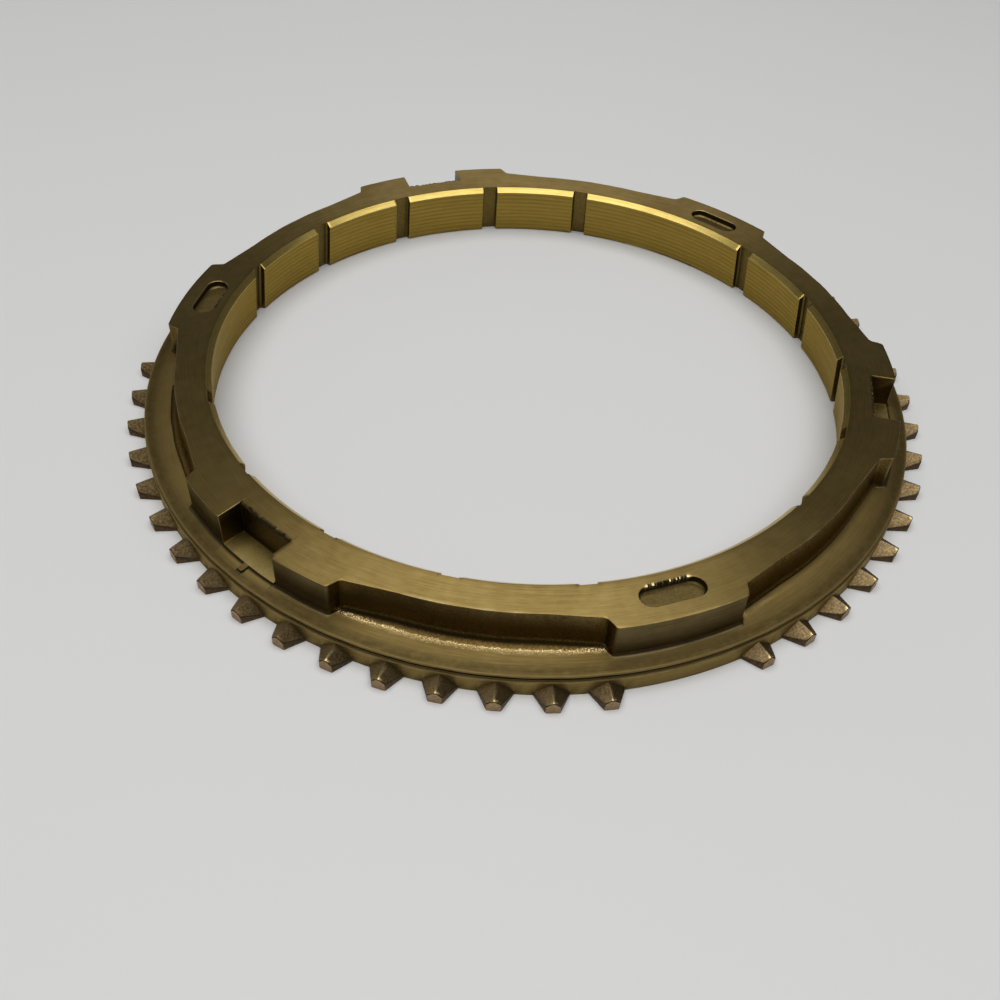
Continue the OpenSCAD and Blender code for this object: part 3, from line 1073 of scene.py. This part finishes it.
def rim(rows, step):
    """Welded points of one step of a band in order of their angle, and these angles."""
    numbers = set(number_of[row[step]] for row in rows)
    ordered = sorted((math.atan2(welded[n][1], welded[n][0]), n) for n in numbers)
    return [n for angle, n in ordered], [angle for angle, n in ordered]


def zip_rims(rim_a, rim_b):
    """Triangles between two rims, the second following the first along the section."""
    numbers_a, angles_a = rim_a
    numbers_b, angles_b = rim_b
    numbers_a = numbers_a + numbers_a[:1]
    numbers_b = numbers_b + numbers_b[:1]
    angles_a = angles_a + [angles_a[0] + 2 * math.pi]
    angles_b = angles_b + [angles_b[0] + 2 * math.pi]
    triangles = []
    a = 0
    b = 0
    while a < len(numbers_a) - 1 or b < len(numbers_b) - 1:
        next_a = angles_a[a + 1] if a < len(numbers_a) - 1 else math.inf
        next_b = angles_b[b + 1] if b < len(numbers_b) - 1 else math.inf
        if next_a <= next_b:
            triangles.append((numbers_a[a], numbers_a[a + 1], numbers_b[b]))
            a += 1
        else:
            triangles.append((numbers_a[a], numbers_b[b + 1], numbers_b[b]))
            b += 1
    return triangles


print(len(places), "points welded to", len(welded))

# %% Faces of the closed skin
welded_faces = []
face_uses = {}
for face, finish in zip(skin_faces, skin_finishes):
    corners = [int(number_of[corner]) for corner in face]
    kept = [corner for i, corner in enumerate(corners) if corner != corners[i - 1]]
    if len(set(kept)) == len(kept) and len(kept) > 2:
        welded_faces.append((kept, finish))
        face_uses[frozenset(kept)] = face_uses.get(frozenset(kept), 0) + 1
single = [(face, finish) for face, finish in welded_faces if face_uses[frozenset(face)] == 1]
faces = [face for face, finish in single]
finishes = [finish for face, finish in single]
for rim_a, rim_b, finish in ((rim(flange_rows, -1), rim(collar_rows, 0), LAND),
                             (rim(collar_rows, -1), rim(cone_rows, 0), TOP),
                             (rim(cone_rows, -1), rim(flange_rows, 0), LAND)):
    strip = zip_rims(rim_a, rim_b)
    faces += strip
    finishes += [finish] * len(strip)
edge_uses = {}
for face in faces:
    for i, corner in enumerate(face):
        key = tuple(sorted((int(corner), int(face[i - 1]))))
        edge_uses[key] = edge_uses.get(key, 0) + 1
open_edges = sum(1 for uses in edge_uses.values() if uses != 2)
print(len(welded), "points,", len(faces), "faces,", open_edges, "open edges")

# %% [markdown]
# ## Ring mesh
# The closed skin becomes one mesh. It is shaded smooth, apart from edges that turn by more than a set angle,
# and weighted normals keep broad faces flat beside their narrow rounded edges. Two values ride along on the
# points, so the finishes can read them: one for rubbed edges and painted glints, one for grime and painted
# shade in corners, creases and undercuts.

# %% Ring mesh
SHARP_FROM = 32
ring_mesh = bpy.data.meshes.new("synchronizer_ring_skin")
ring_mesh.from_pydata((welded * MM).tolist(), [], [[int(c) for c in face] for face in faces])
ring_mesh.polygons.foreach_set("material_index", np.array(finishes, dtype=np.int32))
ring_mesh.polygons.foreach_set("use_smooth", np.ones(len(ring_mesh.polygons), dtype=bool))
ring_mesh.set_sharp_from_angle(angle=math.radians(SHARP_FROM))
for name, values in (("edge_wear_and_glint", wear_and_glint), ("grime_and_shade", grime_and_shade)):
    attribute = ring_mesh.attributes.new(name, "FLOAT", "POINT")
    attribute.data.foreach_set("value", values.astype(np.float32))
ring = bpy.data.objects.new("ring_skin", ring_mesh)
bpy.context.scene.collection.objects.link(ring)
flat_faces = ring.modifiers.new("flat_faces", "WEIGHTED_NORMAL")
flat_faces.keep_sharp = True
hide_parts("synchronizer_ring")
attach(ring, "root")
print("ring skin:", len(ring_mesh.polygons), "faces")

# %% [markdown]
# ## Marks of the tools
# Turning leaves fine marks that run round the axis. Noise makes them when it is read in coordinates of the
# ring itself: the direction from the axis, stretched little, and the radius and height, stretched much. The
# direction is a point on a circle, so the marks close on themselves without a seam. A node group keeps
# this once for every turned surface, and gives out one value from 0 to 1.

# %% Node helpers
PER_METRE = 1000.0


def new_group(name, inputs, outputs):
    """Shader node group with float inputs and float outputs."""
    group = bpy.data.node_groups.new(name, "ShaderNodeTree")
    for title, value in inputs:
        socket = group.interface.new_socket(title, in_out="INPUT", socket_type="NodeSocketFloat")
        socket.default_value = value
    for title in outputs:
        group.interface.new_socket(title, in_out="OUTPUT", socket_type="NodeSocketFloat")
    return group, group.nodes.new("NodeGroupInput"), group.nodes.new("NodeGroupOutput")


def math_node(tree, operation, first, second=0.0, clamp=False):
    """Math node; each operand is a socket or a number. Returns its output."""
    node = tree.nodes.new("ShaderNodeMath")
    node.operation = operation
    node.use_clamp = clamp
    for socket, value in zip(node.inputs, (first, second)):
        if isinstance(value, (int, float)):
            socket.default_value = value
        else:
            tree.links.new(value, socket)
    return node.outputs["Value"]


def times(tree, first, second, clamp=False):
    """Product of two values."""
    return math_node(tree, "MULTIPLY", first, second, clamp)


def plus(tree, first, second, clamp=False):
    """Sum of two values."""
    return math_node(tree, "ADD", first, second, clamp)


def noise_node(tree, vector, scale, detail, roughness=0.6):
    """Noise read at a vector; returns its value output."""
    node = tree.nodes.new("ShaderNodeTexNoise")
    node.inputs["Scale"].default_value = scale
    node.inputs["Detail"].default_value = detail
    node.inputs["Roughness"].default_value = roughness
    tree.links.new(vector, node.inputs["Vector"])
    return node.outputs["Fac"]


def spread(tree, value, low, high):
    """Stretch a value so that low becomes 0 and high becomes 1."""
    node = tree.nodes.new("ShaderNodeMapRange")
    node.inputs["From Min"].default_value = low
    node.inputs["From Max"].default_value = high
    tree.links.new(value, node.inputs["Value"])
    return node.outputs["Result"]


def ring_coordinates(tree):
    """Millimetre coordinates of the ring; returns the vector, x, y, z and the radius."""
    place = tree.nodes.new("ShaderNodeTexCoord").outputs["Object"]
    scale = tree.nodes.new("ShaderNodeVectorMath")
    scale.operation = "SCALE"
    scale.inputs["Scale"].default_value = PER_METRE
    tree.links.new(place, scale.inputs[0])
    axes = tree.nodes.new("ShaderNodeSeparateXYZ")
    tree.links.new(scale.outputs["Vector"], axes.inputs[0])
    x, y, z = axes.outputs
    radius = math_node(tree, "SQRT", plus(tree, times(tree, x, x), times(tree, y, y)))
    return scale.outputs["Vector"], x, y, z, radius


print("coordinates in the finishes:", PER_METRE, "to the metre")

# %% Turned marks group
turned_marks, turned_in, turned_out = new_group("turned_marks", [("Across", 4.0), ("Along", 8.0)], ["Marks"])
x, y, z, radius = ring_coordinates(turned_marks)[1:]
along = turned_in.outputs["Along"]
direction_x = times(turned_marks, math_node(turned_marks, "DIVIDE", x, radius), along)
direction_y = times(turned_marks, math_node(turned_marks, "DIVIDE", y, radius), along)
across = times(turned_marks, plus(turned_marks, radius, z), turned_in.outputs["Across"])
turned_place = turned_marks.nodes.new("ShaderNodeCombineXYZ")
for socket, value in zip(turned_place.inputs, (direction_x, direction_y, across)):
    turned_marks.links.new(value, socket)
turned_noise = noise_node(turned_marks, turned_place.outputs["Vector"], scale=1.0, detail=3.0, roughness=0.7)
turned_marks.links.new(spread(turned_marks, turned_noise, low=0.3, high=0.7), turned_out.inputs["Marks"])
print("node group:", turned_marks.name)

# %% [markdown]
# ## Grain, tarnish and edges
# Forged and sheared brass has no direction: its grain is a plain noise of a few tenths of a millimetre, with
# coarser lumps below it. At the foot of one forged wall in front, a band of fine grains sparkles, and the
# band is made smoother and painted brighter there: partly real sparkle, partly a painted highlight. Handling
# and storage leave broad stains. Edges rub bright, and some bright marks are painted glints; dirt stays in
# corners, and part of the darkening there is painted shade. The mesh knows which points lie on an edge or in
# a corner, so it carries both as point values, and a group breaks them up with noise so that no edge shines
# evenly.

# %% Grain group
FOOT_INNER = (73.7, 74.0)
FOOT_OUTER = (74.95, 74.35)
FOOT_HEIGHTS = (6.2, 5.6)
FOOT_X = (20.0, 0.0)
FOOT_Y = (-25.0, -45.0)
FOOT_WAVE = 0.9
FOOT_GRAIN = 0.5
SPECK_SHINE = 0.85
LEAST_SHINE = 0.05
forged_grain, _, grain_out = new_group("forged_grain", [], ["Grain", "Lumps", "GlitterHighlight"])
vector, x, y, z, radius = ring_coordinates(forged_grain)
grain = noise_node(forged_grain, vector, scale=2.6, detail=3.0)
lumps = noise_node(forged_grain, vector, scale=0.45, detail=2.0)
specks = noise_node(forged_grain, vector, scale=4.5, detail=1.0)
forged_grain.links.new(spread(forged_grain, grain, low=0.34, high=0.66), grain_out.inputs["Grain"])
forged_grain.links.new(spread(forged_grain, lumps, low=0.25, high=0.75), grain_out.inputs["Lumps"])
shift = plus(forged_grain, times(forged_grain, lumps, FOOT_WAVE), -FOOT_WAVE / 2)
wavy = plus(forged_grain, radius, shift)
wavy = plus(forged_grain, wavy, times(forged_grain, grain, FOOT_GRAIN))
# The band lies on the fillet at the foot of the forged wall in front, where it paints a highlight.
foot = times(forged_grain, spread(forged_grain, wavy, *FOOT_INNER), spread(forged_grain, wavy, *FOOT_OUTER))
for place, limits in ((x, FOOT_X), (y, FOOT_Y), (z, FOOT_HEIGHTS)):
    foot = times(forged_grain, foot, spread(forged_grain, place, *limits))
sparkle = times(forged_grain, spread(forged_grain, specks, low=0.44, high=0.64), SPECK_SHINE)
glitter_highlight = times(forged_grain, plus(forged_grain, sparkle, LEAST_SHINE), foot)
forged_grain.links.new(glitter_highlight, grain_out.inputs["GlitterHighlight"])
print("node group:", forged_grain.name)

# %% Tarnish and edge groups
tarnish, _, tarnish_out = new_group("tarnish", [], ["Stain", "Mottle"])
vector = ring_coordinates(tarnish)[0]
for title, scale, detail in (("Stain", 0.06, 4.0), ("Mottle", 0.4, 3.0)):
    cloud = noise_node(tarnish, vector, scale, detail)
    tarnish.links.new(spread(tarnish, cloud, low=0.3, high=0.7), tarnish_out.inputs[title])

edge_wear_grime_and_painted_light, _, edge_masks_out = new_group("edge_wear_grime_and_painted_light", [], ["WearAndGlint", "GrimeAndShade"])
vector = ring_coordinates(edge_wear_grime_and_painted_light)[0]
patches = noise_node(edge_wear_grime_and_painted_light, vector, scale=0.8, detail=3.0)
broken = spread(edge_wear_grime_and_painted_light, patches, low=0.3, high=0.6)
for title, name, least in (("WearAndGlint", "edge_wear_and_glint", 0.3), ("GrimeAndShade", "grime_and_shade", 0.7)):
    reader = edge_wear_grime_and_painted_light.nodes.new("ShaderNodeAttribute")
    reader.attribute_name = name
    uneven = plus(edge_wear_grime_and_painted_light, times(edge_wear_grime_and_painted_light, broken, 1 - least), least)
    mask = times(edge_wear_grime_and_painted_light, reader.outputs["Fac"], uneven, clamp=True)
    edge_wear_grime_and_painted_light.links.new(mask, edge_masks_out.inputs[title])
print("node groups:", tarnish.name, edge_wear_grime_and_painted_light.name)

# %% [markdown]
# ## Brass finishes
# All finishes are the same brass, so one function makes them. A finish says how dark and how light the metal
# goes, how rough it is, how deep its tool marks and its grain are, and how much of the bright brass of rubbed
# edges and painted glints it takes. Tarnish also dulls what a wall mirrors at a low angle, so some finishes
# have a tint for that. Turned faces stretch their highlights across the marks, which is why the top face is
# lighter in front and darker at the sides.

# %% Brass finish
GRIME_AND_SHADE_COLOUR = (0.035, 0.024, 0.01, 1)
RUBBED_AND_GLINT_COLOUR = (0.82, 0.64, 0.34, 1)
QUARTER_TURN = 0.25
WHITE = (1.0, 1.0, 1.0)
METAL_SPECULAR = 0.5
DIRT_AND_SHADE_SPECULAR = 0.05
STAIN_SHARE = 0.28
MOTTLE_SHARE = 0.22
MARK_SHARE = 0.5
GLITTER_HIGHLIGHT_SHARE = 0.85
GRIME_AND_SHADE_SHARE = 0.9
MARK_POLISH = 0.12
WEAR_POLISH = 0.12
GLITTER_POLISH = 0.3
LUMP_SHARE = 2


def colour_mix(tree, factor, first, second):
    """Mix of two colours, each a socket or a colour; returns the mixed colour."""
    node = tree.nodes.new("ShaderNodeMix")
    node.data_type = "RGBA"
    sockets = [socket for socket in node.inputs if socket.type == "RGBA"]
    for socket, value in zip(sockets, (first, second)):
        if isinstance(value, tuple):
            socket.default_value = value
        else:
            tree.links.new(value, socket)
    tree.links.new(factor, node.inputs[0])
    return [socket for socket in node.outputs if socket.type == "RGBA"][0]


def group_node(tree, group, **values):
    """Node of a group, with some of its inputs set."""
    node = tree.nodes.new("ShaderNodeGroup")
    node.node_tree = group
    for title, value in values.items():
        node.inputs[title].default_value = value
    return node


def brass_finish(name, dark, light, rough, across=0.0, along=8.0, mark_depth=0.0, grain_depth=0.0,
                 rubbed=0.3, anisotropy=0.0, glitter_highlight=0.0, metal=1.0, grazing=WHITE):
    """Material of one finish of the brass."""
    material = bpy.data.materials.new(name)
    material.use_nodes = True
    tree = material.node_tree
    shader = tree.nodes["Principled BSDF"]
    shader.inputs["Metallic"].default_value = metal
    shader.inputs["Specular IOR Level"].default_value = METAL_SPECULAR if metal else DIRT_AND_SHADE_SPECULAR
    shader.inputs["Specular Tint"].default_value = (*grazing, 1)
    shader.inputs["Anisotropic"].default_value = anisotropy
    stains = group_node(tree, tarnish)
    edges = group_node(tree, edge_wear_grime_and_painted_light)
    grains = group_node(tree, forged_grain)
    tone = times(tree, stains.outputs["Stain"], STAIN_SHARE)
    tone = plus(tree, tone, times(tree, stains.outputs["Mottle"], MOTTLE_SHARE))
    if across:
        marks = group_node(tree, turned_marks, Across=across, Along=along).outputs["Marks"]
    else:
        marks = grains.outputs["Grain"]
    tone = plus(tree, tone, times(tree, marks, MARK_SHARE), clamp=True)
    colour = colour_mix(tree, tone, (*dark, 1), (*light, 1))
    # Rubbed edges and painted glints both turn the colour towards bright brass; this share sets how far.
    wear_and_glint = times(tree, edges.outputs["WearAndGlint"], rubbed)
    colour = colour_mix(tree, wear_and_glint, colour, RUBBED_AND_GLINT_COLOUR)
    # The band makes the fillet smoother and paints it brighter: partly sparkling grains, partly a painted
    # highlight.
    shine = times(tree, grains.outputs["GlitterHighlight"], glitter_highlight)
    colour = colour_mix(tree, times(tree, shine, GLITTER_HIGHLIGHT_SHARE), colour, RUBBED_AND_GLINT_COLOUR)
    # Darken towards the grime colour: partly grime, partly painted shade in corners, creases, undercuts and
    # recesses.
    colour = colour_mix(tree, times(tree, edges.outputs["GrimeAndShade"], GRIME_AND_SHADE_SHARE), colour, GRIME_AND_SHADE_COLOUR)
    tree.links.new(colour, shader.inputs["Base Color"])
    roughness = plus(tree, times(tree, marks, -MARK_POLISH), rough + MARK_POLISH / 2)
    roughness = math_node(tree, "SUBTRACT", roughness, times(tree, wear_and_glint, WEAR_POLISH))
    roughness = math_node(tree, "SUBTRACT", roughness, times(tree, shine, GLITTER_POLISH), clamp=True)
    tree.links.new(roughness, shader.inputs["Roughness"])
    height = times(tree, marks, mark_depth)
    height = plus(tree, height, times(tree, grains.outputs["Grain"], grain_depth))
    height = plus(tree, height, times(tree, grains.outputs["Lumps"], LUMP_SHARE * grain_depth))
    bump = tree.nodes.new("ShaderNodeBump")
    bump.inputs["Distance"].default_value = MM
    bump.inputs["Strength"].default_value = 1.0
    tree.links.new(height, bump.inputs["Height"])
    tree.links.new(bump.outputs["Normal"], shader.inputs["Normal"])
    if anisotropy:
        tangent = tree.nodes.new("ShaderNodeTangent")
        tangent.direction_type = "RADIAL"
        tangent.axis = "Z"
        shader.inputs["Anisotropic Rotation"].default_value = QUARTER_TURN
        tree.links.new(tangent.outputs["Tangent"], shader.inputs["Tangent"])
    return material


print("brightest rubbed brass:", RUBBED_AND_GLINT_COLOUR[:3])

# %% Finishes of the ring
LOOKS = {
    "turned_top": dict(dark=(0.19, 0.125, 0.03), light=(0.50, 0.36, 0.13), rough=0.39, across=5.0,
                       along=10.0, mark_depth=0.004, anisotropy=0.78),
    "polished_chamfer": dict(dark=(0.45, 0.32, 0.075), light=(0.75, 0.57, 0.17), rough=0.30, across=3.0,
                             mark_depth=0.002),
    "threaded_cone": dict(dark=(0.255, 0.17, 0.031), light=(0.335, 0.23, 0.044), rough=0.40, across=2.0,
                          along=6.0, mark_depth=0.002, grazing=(0.88, 0.8, 0.62)),
    "turned_land": dict(dark=(0.19, 0.132, 0.038), light=(0.34, 0.245, 0.09), rough=0.53, across=3.0,
                        along=10.0, mark_depth=0.006, grain_depth=0.002, rubbed=0.8, glitter_highlight=1.0,
                        anisotropy=0.2, grazing=(0.9, 0.83, 0.65)),
    # Lit and shaded facets: the same sheared brass painted lighter and darker, as light and shade.
    "lit_facet": dict(dark=(0.15, 0.104, 0.044), light=(0.48, 0.345, 0.175), rough=0.58,
                         grain_depth=0.026, rubbed=0.9),
    "shaded_facet": dict(dark=(0.032, 0.022, 0.008), light=(0.18, 0.126, 0.06), rough=0.58,
                       grain_depth=0.02, rubbed=0.9),
    "sheared_side": dict(dark=(0.06, 0.037, 0.018), light=(0.26, 0.17, 0.10), rough=0.55,
                         grain_depth=0.014, rubbed=0.9),
    "sheared_tip": dict(dark=(0.24, 0.16, 0.082), light=(0.48, 0.335, 0.185), rough=0.5,
                        grain_depth=0.012, rubbed=0.9),
    "turned_pad": dict(dark=(0.095, 0.065, 0.022), light=(0.225, 0.175, 0.088), rough=0.42, across=2.5,
                       mark_depth=0.004, grazing=(0.6, 0.54, 0.45)),
    "forged_wall": dict(dark=(0.045, 0.027, 0.006), light=(0.16, 0.10, 0.026), rough=0.32,
                        grain_depth=0.007, rubbed=0.35, glitter_highlight=1.0, grazing=(0.9, 0.82, 0.66)),
    "milled_groove": dict(dark=(0.10, 0.065, 0.015), light=(0.22, 0.16, 0.045), rough=0.42,
                          grain_depth=0.006),
    "bare_pocket": dict(dark=(0.21, 0.147, 0.042), light=(0.56, 0.41, 0.147), rough=0.45,
                        grain_depth=0.012, rubbed=0.9),
    "milled_slot": dict(dark=(0.04, 0.024, 0.005), light=(0.14, 0.09, 0.022), rough=0.38,
                        grain_depth=0.006),
    # Clean cut brass of the slot floor and step; it also carries the painted glints on burrs and ridge ends.
    "clean_cut_and_glint": dict(dark=(0.25, 0.175, 0.042), light=(0.48, 0.36, 0.105), rough=0.42,
                      grain_depth=0.006, rubbed=0.9),
    # The dirt finish, nearly black: partly packed dirt, partly painted shade.
    "packed_dirt_and_shade": dict(dark=(0.001, 0.0006, 0.0002), light=(0.012, 0.006, 0.002), rough=0.7,
                        grain_depth=0.01, metal=0.0),
}
for name in FINISHES:
    ring_mesh.materials.append(brass_finish(name, **LOOKS[name]))
print(len(ring_mesh.materials), "materials on the ring")

# %% [markdown]
# ## Floor and light
# The floor is plain and pale. One large soft light hangs overhead, as a ceiling light does. A small one high
# at the right reaches the chamfer at the far left, and two weak ones stand far behind and far to the left.
# The room around is dim. Metal shows its surroundings, so the dim room is what makes the walls dark, and the
# overhead light is what makes the far chamfer bright.

# %% Floor
FLOOR_HALF = 3.0
FLOOR_COLOUR = (0.72, 0.72, 0.71, 1)
FLOOR_ROUGHNESS = 0.6
floor_corners = [(-FLOOR_HALF, -FLOOR_HALF, 0), (FLOOR_HALF, -FLOOR_HALF, 0),
                 (FLOOR_HALF, FLOOR_HALF, 0), (-FLOOR_HALF, FLOOR_HALF, 0)]
floor_mesh = bpy.data.meshes.new("floor")
floor_mesh.from_pydata(floor_corners, [], [(0, 1, 2, 3)])
floor = bpy.data.objects.new("floor", floor_mesh)
bpy.context.scene.collection.objects.link(floor)
floor_paint = bpy.data.materials.new("pale_floor")
floor_paint.use_nodes = True
floor_shader = floor_paint.node_tree.nodes["Principled BSDF"]
floor_shader.inputs["Base Color"].default_value = FLOOR_COLOUR
floor_shader.inputs["Roughness"].default_value = FLOOR_ROUGHNESS
floor_mesh.materials.append(floor_paint)
print("floor:", 2 * FLOOR_HALF, "metres wide")

# %% Light
RING_MIDDLE = Vector((0, 0, 0.006))
ROOM_COLOUR = (0.085, 0.085, 0.087, 1)
LIGHTS = (("ceiling_light", (-0.08, -0.1, 0.9), 1.3, 9.1),
          ("far_light", (0.55, 1.45, 0.5), 0.8, 0.5),
          ("side_light", (0.72, -0.38, 0.9), 0.5, 0.8),
          ("far_left_light", (-0.9, 0.75, 0.35), 0.5, 0.5))


def area_light(name, place, size, power):
    """Round soft light at a place, aimed at the ring."""
    data = bpy.data.lights.new(name, "AREA")
    data.shape = "DISK"
    data.size = size
    data.energy = power
    light = bpy.data.objects.new(name, data)
    light.location = place
    light.rotation_euler = (RING_MIDDLE - Vector(place)).to_track_quat("-Z", "Y").to_euler()
    bpy.context.scene.collection.objects.link(light)


for name, place, size, power in LIGHTS:
    area_light(name, place, size, power)
world = bpy.data.worlds.new("dim_room")
bpy.context.scene.world = world
world.use_nodes = True
world.node_tree.nodes["Background"].inputs["Color"].default_value = ROOM_COLOUR
bpy.context.scene.view_settings.view_transform = "Standard"
print(len(LIGHTS), "lights in a dim room")
